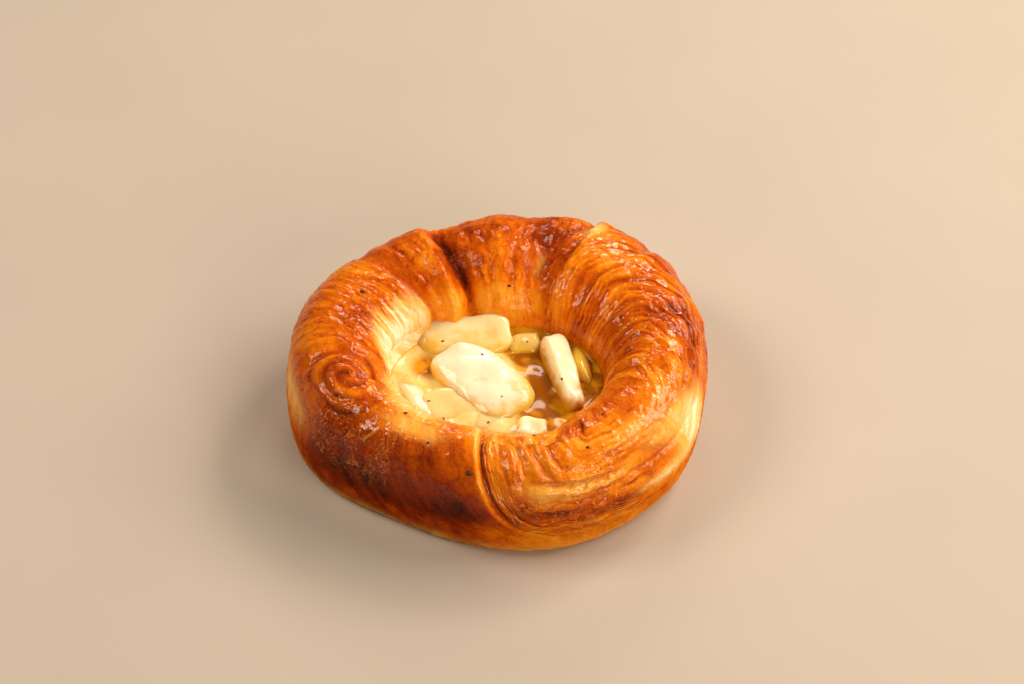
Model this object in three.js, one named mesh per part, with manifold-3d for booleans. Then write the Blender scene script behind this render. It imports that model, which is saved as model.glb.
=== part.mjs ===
// Danish pastry: a round laminated dough ring with a sunken centre that holds custard and cooked fruit.
// Millimetres, +Z up, front towards -Y. The origin is on the flat underside, below the middle of the ring.
import * as THREE from "three";
import { mergeVertices } from "three/addons/utils/BufferGeometryUtils.js";
import Module from "manifold-3d";

// ---------------------------------------------------------------- driving dimensions
const RING_RADIUS = 51.9;        // mean radius of the widest line of the ring
const RING_WAVES = [[1.5, 1.4], [1.6, 0.2], [-2.0, 0.7]];   // how far the outline is from a circle
const RING_BULGES = [             // swellings of the side wall: where, how wide, how far
  { at: 208, width: 20, out: 2.4 },
  { at: 330, width: 15, out: 1.5 },
];
const RING_HEIGHT = 30.3;        // mean height of the crest
const HEIGHT_WAVES = [[-0.4, 1.0], [0.8, 0.4]];
const WIDEST_HEIGHT = 12;        // height at which the ring is widest
const UNDERSIDE_INSET = 5.6;     // how far the resting face is set in from the widest line
const INSET_WAVES = [[2.6, 1.5], [0.4, 1.6]];
const WELL_CENTRE = [0.3, -5.4];
const WELL_RADII = [26.2, 19.6]; // half width and half depth of the well at the foot of its wall
const WELL_BULGES = [{ at: 291, width: 15, out: 3 }];
const CREST_SHARE = 0.5;         // where the crest stands between the well and the outline
const FLOOR_HEIGHT = 8.5;        // top of the dough floor under the custard
const OUTSIDE_FULLNESS = 2.3;    // roundness of the section, 2 is an ellipse
const CREST_FULLNESS = 2.2;
const WALL_FULLNESS = 1.9;       // the wall of the well slopes in more gently
const CUSTARD_LEVEL = 16;
const GAP = 0.32;                // clearance between pieces that lie against each other

const AROUND = 80;               // facets round the ring, not counting those set along the seams
const LOWER_ROWS = 4;
const OUTER_ROWS = 9;
const INNER_ROWS = 10;

// ---------------------------------------------------------------- small helpers
const RAD = Math.PI / 180;
const mix = (a, b, t) => a + (b - a) * t;
const clamp = (x, low, high) => Math.min(high, Math.max(low, x));
const bell = (x, width) => Math.exp(-((x / width) ** 2));
const turnFrom = (a, b) => ((((a - b) % 360) + 540) % 360) - 180;

function smooth(low, high, x) {
  const t = clamp((x - low) / (high - low), 0, 1);
  return t * t * (3 - 2 * t);
}

function between(x, low, high, soft) {
  return smooth(low - soft, low + soft, x) * (1 - smooth(high - soft, high + soft, x));
}

function waves(angle, terms) {
  let sum = 0;
  terms.forEach(([c, s], n) => {
    sum += c * Math.cos((n + 1) * angle) + s * Math.sin((n + 1) * angle);
  });
  return sum;
}

// ---------------------------------------------------------------- the ring without its folds
// a: angle round the ring in degrees, p: angle round the section in degrees
// (-90 resting face, 0 widest line, 90 crest, 180 foot of the well wall).
function ringPoint(a, p, out) {
  const angle = a * RAD;
  let radius = RING_RADIUS + waves(angle, RING_WAVES);
  for (const bulge of RING_BULGES) radius += bulge.out * bell(turnFrom(a, bulge.at), bulge.width);
  let wider = 0;
  for (const bulge of WELL_BULGES) wider += bulge.out * bell(turnFrom(a, bulge.at), bulge.width);
  const height = RING_HEIGHT + waves(angle, HEIGHT_WAVES);
  const inset = UNDERSIDE_INSET + waves(angle, INSET_WAVES);
  const outer = [radius * Math.cos(angle), radius * Math.sin(angle)];
  const foot = [(radius - inset) * Math.cos(angle), (radius - inset) * Math.sin(angle)];
  const inner = [
    WELL_CENTRE[0] + (WELL_RADII[0] + wider) * Math.cos(angle),
    WELL_CENTRE[1] + (WELL_RADII[1] + wider) * Math.sin(angle),
  ];
  const crest = [mix(inner[0], outer[0], CREST_SHARE), mix(inner[1], outer[1], CREST_SHARE)];
  const across = Math.abs(Math.cos(p * RAD));
  const up = Math.abs(Math.sin(p * RAD));
  if (p < 0) {
    out.set(
      mix(foot[0], outer[0], across),
      mix(foot[1], outer[1], across),
      WIDEST_HEIGHT * (1 - up),
    );
    return out;
  }
  const side = p < 90 ? outer : inner;
  const reach = across ** (2 / (p < 90 ? OUTSIDE_FULLNESS : WALL_FULLNESS));
  out.set(
    mix(crest[0], side[0], reach),
    mix(crest[1], side[1], reach),
    WIDEST_HEIGHT + (height - WIDEST_HEIGHT) * up ** (2 / CREST_FULLNESS),
  );
  return out;
}

// ---------------------------------------------------------------- folds of the dough
// Places round the ring are given by a seam angle g. Lines of constant g lean with the seams,
// so that a seam is one line of the mesh; leaned() turns g and p into the true angle.
const FRONT_SEAM = 263;
const LOBE_SEAM = 58;
const CREASE = 107;
const FLAP_SEAM = 134.5;
const EYE_ABOVE = 189;
const EYE_BELOW = 205;
const BACK_RIDGES = [             // broad pleats at the back: place, width, height
  [89, 6.5, 1.5],
  [97, 2.0, 0.5],
  [119, 6.0, 1.4],
  [128, 2.2, 0.5],
];
const SEAMS = [
  { g: FRONT_SEAM, reach: 30, lean: (p) => {
    const s = clamp((105 - p) / 115, 0, 1.1);
    return 9 * s ** 2 + 7 * s ** 6;
  } },
  { g: LOBE_SEAM, reach: 18, lean: (p) => 1 + 4.5 * bell(p - 128, 32) },
  { g: CREASE, reach: 12, lean: (p) => 3.5 - 7 * clamp((p - 75) / 65, 0, 1) },
  { g: FLAP_SEAM, reach: 16, lean: (p) => 5 - 13 * clamp((p - 60) / 80, 0, 1) ** 1.5 },
  { g: EYE_ABOVE, reach: 7, lean: (p) => -2.5 * clamp((p - 100) / 40, -1, 1) },
];

function leaned(g, p) {
  let a = g;
  for (const seam of SEAMS) a += seam.lean(p) * bell(turnFrom(g, seam.g), seam.reach);
  return a;
}

// The dough on one side of a seam lies over the other side: a step with a groove at its foot.
// distance is in mm, positive on the upper side; the value is the lift off the plain ring.
function overlap(distance, step, fade, groove, width) {
  const lift = distance > 0 ? step * (1 - Math.exp(-distance / 0.9)) * Math.exp(-distance / fade) : 0;
  return lift - groove * bell(distance + width * 0.4, width);
}

function foldLift(g, p) {
  const perDegree = p > 90 ? mix(0.66, 0.42, (p - 90) / 90) : 0.86;
  const upper = between(p, 0, 160, 14);
  let lift = 0;

  // front: the smooth left end lies over the layered right end
  const front = -turnFrom(g, FRONT_SEAM) * perDegree;
  lift += overlap(front, 1.0, 14, 1.1, 1.3) * between(p, 4, 124, 14);

  // layered right end: broad ribs that follow the seam round and run off along the ring
  const ribSide = Math.max(0, -front);
  const ribBase = (p + 12) * 0.33;
  const rib = -1.6 * Math.log(Math.exp(-ribSide / 1.6) + Math.exp(-ribBase / 1.6) + 1e-9);
  const ribZone = smooth(0.5, 3, -front) * (1 - smooth(20, 34, -front)) * between(p, 4, 112, 12);
  lift += 0.42 * Math.sin(rib * 1.05 + 1.8 * Math.sin(0.21 * g + 0.05 * p)) * ribZone;

  // front right: a thin lip with a pinched line and a swollen band under it
  const low = p - 46 + 0.28 * turnFrom(g, 282);
  const lip = 0.9 * smooth(-1.5, 1.5, low) * Math.exp(-Math.max(low, 0) * 0.09);
  lift += (lip - 0.6 * bell((low + 2.5) * 0.33, 0.9)) * between(turnFrom(g, 292), -12, 13, 4);
  lift += 0.9 * bell((low + 12) * 0.33, 2.4) * between(turnFrom(g, 291), -16, 16, 6);

  // back right: lobe lying over the back
  const lobeZone = between(p, 40, 160, 22);
  lift += overlap(-turnFrom(g, LOBE_SEAM) * perDegree, 1.9, 20, 0.6, 1.6) * lobeZone;
  lift -= 1.7 * bell(turnFrom(g, LOBE_SEAM + 10) * perDegree, 5.0) * between(p, 74, 160, 18);
  lift += 1.2 * bell(turnFrom(g, 66), 9) * bell(p - 54, 14);

  // back: deep crease and broad pleats running down into the well
  const crease = turnFrom(g, CREASE) * perDegree;
  lift -= 2.8 * bell(crease, 2.8) * between(p, 66, 156, 18);
  lift += 1.3 * bell(crease - 5, 3) * between(p, 40, 150, 18);
  for (const [at, width, height] of BACK_RIDGES) lift += height * bell(turnFrom(g, at), width) * upper;

  // upper left: wide flap that ends in a lip over the filling
  const flap = turnFrom(g, FLAP_SEAM) * perDegree;
  lift += overlap(flap, 1.5, 18, 0.7, 1.4) * mix(0.35, 1, smooth(80, 128, p)) * upper;
  lift -= 1.3 * smooth(146, 154, p) * (1 - smooth(162, 176, p)) * between(g, 134, 176, 8);

  // left: folds either side of the rolled eye
  const above = turnFrom(g, EYE_ABOVE) * perDegree;
  lift -= 1.0 * bell(above, 1.4) * between(p, 56, 126, 12);
  const below = turnFrom(g, EYE_BELOW) * perDegree;
  lift -= 0.9 * bell(below, 1.1) * between(p, 94, 130, 8);
  lift += 1.3 * bell(turnFrom(g, 201), 8) * bell(p - 84, 24);

  // left: the browned top stands proud of the pale side wall
  lift -= 0.8 * (1 - smooth(22, 36, p)) * smooth(-60, -20, p) * between(g, 162, 206, 8);

  // right: ribs running out over the ring, and the open seam low on the right
  const out = turnFrom(g, 8 + (p - 90) * 0.06);
  const striped = 0.35 * Math.cos(out * 36 * RAD) + 0.3 * Math.cos(out * 23 * RAD + 1.2);
  lift += striped * between(out, -26, 42, 8) * between(p, 25, 146, 15);
  const seamZone = between(turnFrom(g, 318), -26, 24, 6);
  lift -= 1.0 * bell((p - 26) * 0.33, 1.2) * seamZone;
  lift += 0.7 * bell((p - 10) * 0.33, 2.6) * seamZone;

  // slow unevenness of the whole bake
  lift += 0.5 * Math.sin(3 * g * RAD + 0.7) * Math.sin((p + 40) * 1.7 * RAD) * upper;
  return lift;
}

// ---------------------------------------------------------------- closed bodies from rows of points
function bodyFromRows(rows, first, last, flip) {
  const count = rows[0].length;
  const points = [first, ...rows.flat(), last];
  const end = points.length - 1;
  const faces = [];
  for (let i = 0; i < count; i++) {
    const j = (i + 1) % count;
    faces.push([0, 1 + j, 1 + i]);
    for (let r = 0; r + 1 < rows.length; r++) {
      const low = 1 + r * count;
      const high = low + count;
      faces.push([low + i, low + j, high + j], [low + i, high + j, high + i]);
    }
    const top = 1 + (rows.length - 1) * count;
    faces.push([top + i, top + j, end]);
  }
  const geometry = new THREE.BufferGeometry();
  geometry.setAttribute(
    "position",
    new THREE.BufferAttribute(new Float32Array(points.flatMap((v) => [v.x, v.y, v.z])), 3),
  );
  geometry.setIndex(faces.flatMap((f) => (flip ? [f[0], f[2], f[1]] : f)));
  return geometry;
}

// ---------------------------------------------------------------- the dough
function seamAngles() {
  const lines = [FRONT_SEAM, LOBE_SEAM, CREASE, FLAP_SEAM, EYE_ABOVE, EYE_BELOW];
  const list = [];
  for (let i = 0; i < AROUND; i++) {
    const g = (i * 360) / AROUND;
    if (lines.every((line) => Math.abs(turnFrom(g, line)) > 2.6)) list.push(g);
  }
  for (const line of lines) {
    for (const step of [-2.2, -1, 0, 1, 2.2]) list.push(line + step);
  }
  return list.sort((one, two) => one - two);
}

function sectionAngles() {
  const list = [];
  for (let r = 0; r <= LOWER_ROWS; r++) list.push(-90 + (90 * r) / LOWER_ROWS);
  for (let r = 1; r <= OUTER_ROWS; r++) list.push((90 * r) / OUTER_ROWS);
  for (let r = 1; r <= INNER_ROWS; r++) list.push(90 + (90 * r) / INNER_ROWS);
  return list;
}

const baseOf = (g, p) => ringPoint(leaned(g, p), p, new THREE.Vector3());

// Lifts a point of the plain ring off its surface, along the surface normal.
function doughPoint(g, p, extra = 0) {
  const at = baseOf(g, p);
  if (p <= -90) return at;
  const side = baseOf(g + 0.5, p).sub(baseOf(g - 0.5, p));
  const rise = baseOf(g, Math.min(179.5, p + 1)).sub(baseOf(g, Math.max(-89, p - 1)));
  at.addScaledVector(side.cross(rise).normalize(), foldLift(g, p) + extra);
  at.z = Math.max(at.z, 0.4);
  return at;
}

const doughRow = (p, angles, extra) => angles.map((g) => doughPoint(g, p, extra));

function floorRow(wall, share, height) {
  return wall.map((v) => new THREE.Vector3(
    mix(v.x, WELL_CENTRE[0], share),
    mix(v.y, WELL_CENTRE[1], share),
    height,
  ));
}

function doughGeometry() {
  const angles = seamAngles();
  const rows = sectionAngles().map((p) => doughRow(p, angles, 0));
  const foot = rows[rows.length - 1];
  rows.push(floorRow(foot, 0.12, FLOOR_HEIGHT + 0.8));
  rows.push(floorRow(foot, 0.35, FLOOR_HEIGHT));
  const under = new THREE.Vector3(0, 0, 0);
  const floor = new THREE.Vector3(...WELL_CENTRE, FLOOR_HEIGHT);
  return bodyFromRows(rows, under, floor, false);
}

// The free space inside the well, drawn in from the wall by the gap: what fills it is cut to this.
function cavityGeometry(count, clearance) {
  const angles = [];
  for (let i = 0; i < count; i++) angles.push((i * 360) / count);
  const rows = [180, 171, 160, 146, 128, 106].map((p) => doughRow(p, angles, clearance));
  const foot = rows[0];
  const top = rows[rows.length - 1];
  rows.unshift(floorRow(foot, 0.12, FLOOR_HEIGHT + 0.8 + GAP));
  rows.unshift(floorRow(foot, 0.35, FLOOR_HEIGHT + GAP));
  const low = new THREE.Vector3(...WELL_CENTRE, FLOOR_HEIGHT + GAP);
  const high = new THREE.Vector3(...WELL_CENTRE, top.reduce((z, v) => z + v.z, 0) / top.length);
  return bodyFromRows(rows, low, high, false);
}

// ---------------------------------------------------------------- fruit pieces
// A soft cut piece: a rounded block with its own fullness, bent and tapered, turned into place.
// size: half lengths, full: how square it is, turn/tip/roll: degrees, taper: narrower far end.
const FRUIT = [
  { name: "fruit_slice_front", at: [-8.6, -15.4, 15.6], size: [11.4, 6.6, 2.6], full: 3.0,
    turn: -14, tip: 2, roll: 6, taper: 0.1, facets: [18, 8], colour: 0xedd08a },
  { name: "fruit_lump", at: [-3.9, -4.9, 14.8], size: [14.6, 9.0, 6.0], full: 2.9,
    turn: -46, tip: 3, roll: 2, taper: -0.14, facets: [20, 10], colour: 0xf5e6bd },
  { name: "fruit_slab_right", at: [16.2, -2.8, 15.8], size: [12.4, 3.0, 5.1], full: 5.5,
    turn: -77, tip: 3, roll: -16, taper: 0.16, facets: [20, 8], colour: 0xf0dc9c },
  { name: "fruit_slab_back_left", at: [-8.2, 10.2, 17.0], size: [12.0, 6.6, 2.6], full: 3.6,
    turn: 4, tip: -4, roll: 22, taper: 0.12, facets: [18, 8], colour: 0xf2dc9a },
  { name: "fruit_piece_back", at: [6.9, 9.0, 15.2], size: [4.6, 3.4, 3.0], full: 3.4,
    turn: 12, tip: 0, roll: 16, taper: 0, facets: [12, 6], colour: 0xe9c56a },
  { name: "fruit_wedge_far_right", at: [20.8, 1.2, 14.6], size: [8.4, 3.0, 4.0], full: 3.0,
    turn: -68, tip: 0, roll: 16, taper: 0.15, facets: [14, 6], colour: 0xe2b548 },
  { name: "fruit_slice_front_left", at: [-20.4, -11.2, 15.4], size: [10.2, 3.0, 2.6], full: 3.0,
    turn: -62, tip: 0, roll: -12, taper: 0.1, facets: [14, 6], colour: 0xf0dca2 },
  { name: "fruit_chunk_front", at: [8.6, -22.8, 15.8], size: [3.6, 3.4, 4.0], full: 5.0,
    turn: -8, tip: 0, roll: -4, taper: 0, facets: [16, 8], colour: 0xf1dda0 },
];

function fruitGeometry(piece, extra) {
  const [around, rows] = piece.facets;
  const power = 2 / piece.full;
  const rounded = (x) => Math.sign(x) * Math.abs(x) ** power;
  const [hx, hy, hz] = piece.size;
  const frame = new THREE.Matrix4().makeRotationFromEuler(
    new THREE.Euler(piece.roll * RAD, piece.tip * RAD, piece.turn * RAD, "ZYX"),
  );
  frame.setPosition(...piece.at);
  const place = (x, y, z) => {
    const narrow = 1 - piece.taper * x;
    const v = new THREE.Vector3(
      (hx + extra) * x,
      (hy + extra) * y * narrow,
      (hz + extra) * z + 0.5 * Math.sin(3.2 * x + piece.turn) * (1 - y * y * 0.5) - 0.4 * x * x,
    );
    return v.applyMatrix4(frame);
  };
  const list = [];
  for (let r = 1; r < rows; r++) {
    const level = -90 + (180 * r) / rows;
    const row = [];
    for (let i = 0; i < around; i++) {
      const angle = (i * 360) / around;
      const ring = rounded(Math.cos(level * RAD));
      row.push(place(
        ring * rounded(Math.cos(angle * RAD)),
        ring * rounded(Math.sin(angle * RAD)),
        rounded(Math.sin(level * RAD)),
      ));
    }
    list.push(row);
  }
  return bodyFromRows(list, place(0, 0, -1), place(0, 0, 1), false);
}

// ---------------------------------------------------------------- joining and cutting
const wasm = await Module();
wasm.setup();

function solidOf(geometry) {
  const clean = geometry.clone();
  clean.deleteAttribute("normal");
  clean.deleteAttribute("uv");
  const merged = mergeVertices(clean, 1e-4);
  return new wasm.Manifold(new wasm.Mesh({
    numProp: 3,
    vertProperties: new Float32Array(merged.attributes.position.array),
    triVerts: new Uint32Array(merged.index.array),
  }));
}

function geometryOf(solid) {
  const mesh = solid.getMesh();
  const geometry = new THREE.BufferGeometry();
  geometry.setAttribute("position", new THREE.BufferAttribute(new Float32Array(mesh.vertProperties), 3));
  geometry.setIndex(Array.from(mesh.triVerts));
  return geometry;
}

function largestBody(solid) {
  const parts = solid.decompose();
  return parts.reduce((best, part) => (part.volume() > best.volume() ? part : best));
}

// One body without the slivers that cutting leaves.
const tidied = (solid, tolerance) => largestBody(largestBody(solid).simplify(tolerance));

// ---------------------------------------------------------------- assembly
const group = new THREE.Group();
group.name = "danish_pastry";

function addNode(name, geometry, colour, roughness) {
  geometry.computeVertexNormals();
  const material = new THREE.MeshStandardMaterial({ color: colour, roughness, metalness: 0 });
  material.name = name;
  const mesh = new THREE.Mesh(geometry, material);
  mesh.name = name;
  group.add(mesh);
}

addNode("dough", doughGeometry(), 0xc8772a, 0.35);

const roomForFruit = solidOf(cavityGeometry(72, 0.8));
const roomForCustard = solidOf(cavityGeometry(48, GAP));
const placed = [];
for (const piece of FRUIT) {
  let solid = solidOf(fruitGeometry(piece, 0)).intersect(roomForFruit);
  for (const other of placed) solid = solid.subtract(solidOf(fruitGeometry(other, GAP)));
  addNode(piece.name, geometryOf(tidied(solid, 0.1)), piece.colour, 0.3);
  placed.push(piece);
}

const pool = solidOf(new THREE.BoxGeometry(80, 80, CUSTARD_LEVEL).translate(0, 0, CUSTARD_LEVEL / 2));
let custard = roomForCustard.intersect(pool);
for (const piece of placed) custard = custard.subtract(solidOf(fruitGeometry(piece, GAP * 1.3)));
addNode("custard", geometryOf(tidied(custard, 0.12)), 0xe0a326, 0.2);

export default group;
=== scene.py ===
"""Danish pastry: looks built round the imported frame. Metres, +Z up, front towards -Y.

Shapes are worked out in millimetres on the ring's own coordinates and turned into metres when a
mesh is made:
  g  place round the ring in degrees; lines of constant g follow the seams of the dough
  p  place round the section in degrees: -90 resting face, 0 widest line, 90 crest, 180 foot of the well
"""
import math

import bmesh
import bpy
import numpy as np
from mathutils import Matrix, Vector


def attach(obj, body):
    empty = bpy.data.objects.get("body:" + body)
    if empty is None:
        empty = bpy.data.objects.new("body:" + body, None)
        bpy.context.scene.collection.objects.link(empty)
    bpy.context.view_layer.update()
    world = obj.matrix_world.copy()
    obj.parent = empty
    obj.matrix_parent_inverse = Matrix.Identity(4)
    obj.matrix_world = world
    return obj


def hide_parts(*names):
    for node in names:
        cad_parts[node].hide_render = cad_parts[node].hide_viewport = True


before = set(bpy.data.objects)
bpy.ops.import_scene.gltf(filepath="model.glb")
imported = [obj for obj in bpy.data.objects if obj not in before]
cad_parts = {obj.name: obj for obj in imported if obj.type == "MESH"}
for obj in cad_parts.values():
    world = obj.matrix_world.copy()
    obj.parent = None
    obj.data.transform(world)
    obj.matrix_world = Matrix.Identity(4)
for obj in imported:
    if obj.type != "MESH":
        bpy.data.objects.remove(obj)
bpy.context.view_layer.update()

MM = 0.001
RAD = math.pi / 180

# ------------------------------------------------------------------ sizes of the ring, as in the frame
RING_RADIUS = 51.9          # mean radius of the widest line
RING_WAVES = ((1.5, 1.4), (1.6, 0.2), (-2.0, 0.7))
RING_BULGES = ((208, 20, 2.4), (330, 15, 1.5))      # swellings of the side: where, how wide, how far
RING_HEIGHT = 30.3          # mean height of the crest
HEIGHT_WAVES = ((-0.4, 1.0), (0.8, 0.4))
WIDEST_HEIGHT = 12          # height at which the ring is widest
UNDERSIDE_INSET = 5.6       # how far the resting face is set in from the widest line
INSET_WAVES = ((2.6, 1.5), (0.4, 1.6))
WELL_CENTRE = (0.3, -5.4)
WELL_RADII = (26.2, 19.6)   # half width and half depth of the well at the foot of its wall
WELL_BULGES = ((291, 15, 3.0),)
CREST_SHARE = 0.5           # where the crest stands between the well and the outline
FLOOR_HEIGHT = 8.5          # top of the dough under the custard
OUTSIDE_FULLNESS = 2.3      # roundness of the section, 2 is an ellipse
CREST_FULLNESS = 2.2
WALL_FULLNESS = 1.9         # the wall of the well slopes in more gently
CUSTARD_LEVEL = 16.0
CUSTARD_SWELL = 0.35        # how far the middle of the custard stands above its level

# places round the ring
FRONT_SEAM = 263
LOBE_SEAM = 58
CREASE = 107
FLAP_SEAM = 134.5
EYE_ABOVE = 189             # the grooves on either side of the rolled eye
EYE_BELOW = 205
EYE_CENTRE = (204, 88)      # g and p of its middle
FLAKE = 226                 # a loose flake at the front left
FLAKE_SPAN = (44, 62, 6)    # from p, to p, softness of its ends


# ------------------------------------------------------------------ small helpers
def mix(a, b, t):
    return a + (b - a) * t


def smooth(low, high, x):
    t = np.clip((x - low) / (high - low), 0, 1)
    return t * t * (3 - 2 * t)


def between(x, low, high, soft):
    return smooth(low - soft, low + soft, x) * (1 - smooth(high - soft, high + soft, x))


def bell(x, width):
    return np.exp(-((x / width) ** 2))


def turn_from(a, b):
    return (a - b + 180) % 360 - 180


def waves(angle, terms):
    """A sum of waves round the ring: one cosine and sine share for each number of turns."""
    return sum(c * np.cos((n + 1) * angle) + s * np.sin((n + 1) * angle) for n, (c, s) in enumerate(terms))


def spot(g, p, at, section, wide, tall):
    """A soft round patch on the ring."""
    return bell(turn_from(g, at), wide) * bell(p - section, tall)


def patches(places, g, p):
    """The sum of soft patches, each (how much, its g, its p, half width, half height)."""
    return sum(much * spot(g, p, *place) for much, *place in places)


# ------------------------------------------------------------------ the ring and its folds
def ring_point(a, p):
    """The plain ring without folds: a is the true angle round it."""
    angle = a * RAD
    radius = RING_RADIUS + waves(angle, RING_WAVES)
    for at, width, out in RING_BULGES:
        radius = radius + out * bell(turn_from(a, at), width)
    height = RING_HEIGHT + waves(angle, HEIGHT_WAVES)
    inset = UNDERSIDE_INSET + waves(angle, INSET_WAVES)
    swell = sum(out * bell(turn_from(a, at), width) for at, width, out in WELL_BULGES)
    across = np.abs(np.cos(p * RAD))
    up = np.abs(np.sin(p * RAD))
    place = []
    for unit, middle, half in zip((np.cos(angle), np.sin(angle)), WELL_CENTRE, WELL_RADII):
        outer = radius * unit
        foot = (radius - inset) * unit
        inner = middle + (half + swell) * unit
        crest = mix(inner, outer, CREST_SHARE)
        over = mix(crest, outer, across ** (2 / OUTSIDE_FULLNESS))
        wall = mix(crest, inner, across ** (2 / WALL_FULLNESS))
        place.append(np.where(p < 0, mix(foot, outer, across), np.where(p < 90, over, wall)))
    under = WIDEST_HEIGHT * (1 - up)
    above = WIDEST_HEIGHT + (height - WIDEST_HEIGHT) * up ** (2 / CREST_FULLNESS)
    return np.stack([*place, np.where(p < 0, under, above)], -1)


def lean_front(p):
    """How far the front seam swings to the right on its way down, in degrees."""
    s = np.clip((105 - p) / 115, 0, 1.1)
    return 9 * s ** 2 + 7 * s ** 6


# how the seams lean: (where, how far round the lean reaches, degrees of lean for each p)
LEANS = (
    (FRONT_SEAM, 30, lean_front),
    (LOBE_SEAM, 18, lambda p: 1 + 4.5 * bell(p - 128, 32)),
    (CREASE, 12, lambda p: 3.5 - 7 * np.clip((p - 75) / 65, 0, 1)),
    (FLAP_SEAM, 16, lambda p: 5 - 13 * np.clip((p - 60) / 80, 0, 1) ** 1.5),
    (EYE_ABOVE, 7, lambda p: -2.5 * np.clip((p - 100) / 40, -1, 1)),
)


def leaned(g, p):
    """The true angle of a place that is given along the leaning seams."""
    return g + sum(lean(p) * bell(turn_from(g, at), reach) for at, reach, lean in LEANS)


def overlap(distance, step, fade, groove, width):
    """One layer lying over the next: a step up that fades out, with a groove before it."""
    over = np.maximum(distance, 0)
    lift = step * (1 - np.exp(-over / 0.5)) * np.exp(-over / fade)
    return lift - groove * bell(distance + width * 0.4, width)


def per_degree(p):
    """About how many mm round the ring one degree of g is."""
    return np.where(p > 90, mix(0.66, 0.42, (p - 90) / 90), 0.86)


def soft_least(a, b, soft):
    """The smaller of two values, with a rounded change from one to the other."""
    return -soft * np.log(np.exp(-a / soft) + np.exp(-b / soft) + 1e-9)


def front_ribs(g, p):
    """Distance in mm from the rim of the layered end: its lines follow the seam, then the ring."""
    side = np.maximum(0, turn_from(g, FRONT_SEAM) * per_degree(p))
    return soft_least(side, (p + 12) * 0.33, 1.6)


def eye_spiral(g, p):
    """Distance from the rolled eye on the left in mm, and the same wound into a spiral."""
    along, up = turn_from(g, EYE_CENTRE[0]) * 0.72, (p - EYE_CENTRE[1]) * 0.36
    eye = np.hypot(along, up)
    return eye, eye - np.arctan2(up, along) * 0.9


def from_flake(g, p):
    """Degrees from the wavy line of the loose flake."""
    return turn_from(g, FLAKE + 1.5 * np.sin(p * 0.12))


def front_folds(g, p):
    """The step over the front seam, the waves of the layered end, and the lip and roll across it."""
    front = -turn_from(g, FRONT_SEAM) * per_degree(p)
    lift = overlap(front, 1.0, 14, 1.1, 0.9) * between(p, 4, 124, 14)
    fan = smooth(0.5, 3, -front) * (1 - smooth(20, 34, -front)) * between(p, 4, 112, 12)
    lift += 0.42 * np.sin(front_ribs(g, p) * 1.05 + 1.8 * np.sin(0.21 * g + 0.05 * p)) * fan
    above = p - 46 + 0.28 * turn_from(g, 282)
    lip = smooth(-1.5, 1.5, above) * np.exp(-np.maximum(above, 0) * 0.09)
    lift += (0.9 * lip - 0.6 * bell((above + 2.5) * 0.33, 0.7)) * between(turn_from(g, 292), -12, 13, 4)
    lift += 0.9 * bell((above + 12) * 0.33, 2.4) * between(turn_from(g, 291), -16, 16, 6)
    return lift


# ridges at the back: (where, half width in degrees, height)
BACK_RIDGES = ((89, 6.5, 1.5), (97, 2.0, 0.5), (119, 6.0, 1.4), (128, 2.2, 0.5))


def back_folds(g, p):
    """The lobe, the ridges beside the crease, and the flap with the ledge at its foot."""
    scale = per_degree(p)
    upper = between(p, 0, 160, 14)
    lift = overlap(-turn_from(g, LOBE_SEAM) * scale, 1.9, 20, 0.6, 1.6) * between(p, 40, 160, 22)
    lift += 1.2 * spot(g, p, 66, 54, 9, 14)
    for at, width, height in BACK_RIDGES:
        lift += height * bell(turn_from(g, at), width) * upper
    flap = overlap(turn_from(g, FLAP_SEAM) * scale, 1.5, 18, 0.7, 1.2)
    lift += flap * mix(0.35, 1, smooth(80, 128, p)) * upper
    lift -= 1.3 * smooth(146, 154, p) * (1 - smooth(162, 176, p)) * between(g, 134, 176, 8)
    return lift


def left_folds(g, p):
    """The rolled eye with its spiral, the loose flake, and the waist low on the side."""
    eye, swirl = eye_spiral(g, p)
    lift = 1.3 * spot(g, p, 201, 84, 8, 24)
    lift += 0.20 * np.sin(swirl * 1.1 + 0.6) * smooth(0.5, 3, eye) * (1 - smooth(9, 15, eye))
    lift += 0.35 * bell(from_flake(g, p) * per_degree(p), 0.4) * between(p, *FLAKE_SPAN)
    lift -= 0.8 * (1 - smooth(22, 36, p)) * smooth(-60, -20, p) * between(g, 162, 206, 8)
    return lift


def right_folds(g, p):
    """The fine ridges over the right side, and the roll above the seam low at the front right."""
    out = turn_from(g, 8 + (p - 90) * 0.06)
    striped = 0.35 * np.cos(out * 36 * RAD) + 0.3 * np.cos(out * 23 * RAD + 1.2)
    lift = striped * between(out, -26, 42, 8) * between(p, 25, 146, 15)
    seam = between(turn_from(g, 318), -26, 24, 6)
    lift += (0.7 * bell((p - 10) * 0.33, 2.6) - 1.0 * bell((p - 26) * 0.33, 1.0)) * seam
    return lift


# furrows and ridges up the section: (where, mm beside it, half width, height, from p, to p, softness)
FURROWS = (
    (LOBE_SEAM + 10, 0.0, 5.0, -1.7, 74, 160, 18),
    (CREASE, 0.0, 2.8, -2.8, 66, 156, 18),
    (CREASE, 5.0, 3.0, 1.3, 40, 150, 18),
    (EYE_ABOVE, 0.0, 1.4, -1.0, 56, 126, 12),
    (EYE_BELOW, 0.0, 1.1, -0.9, 94, 130, 8),
)


def fold_lift(g, p):
    """How far the folds stand out from the plain ring, in mm."""
    lift = front_folds(g, p) + back_folds(g, p) + left_folds(g, p) + right_folds(g, p)
    for at, beside, width, height, *span in FURROWS:
        lift += height * bell(turn_from(g, at) * per_degree(p) - beside, width) * between(p, *span)
    dents = 0.5 * np.sin(3 * g * RAD + 0.7) * np.sin((p + 40) * 1.7 * RAD)
    return lift + dents * between(p, 0, 160, 14)


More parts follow.
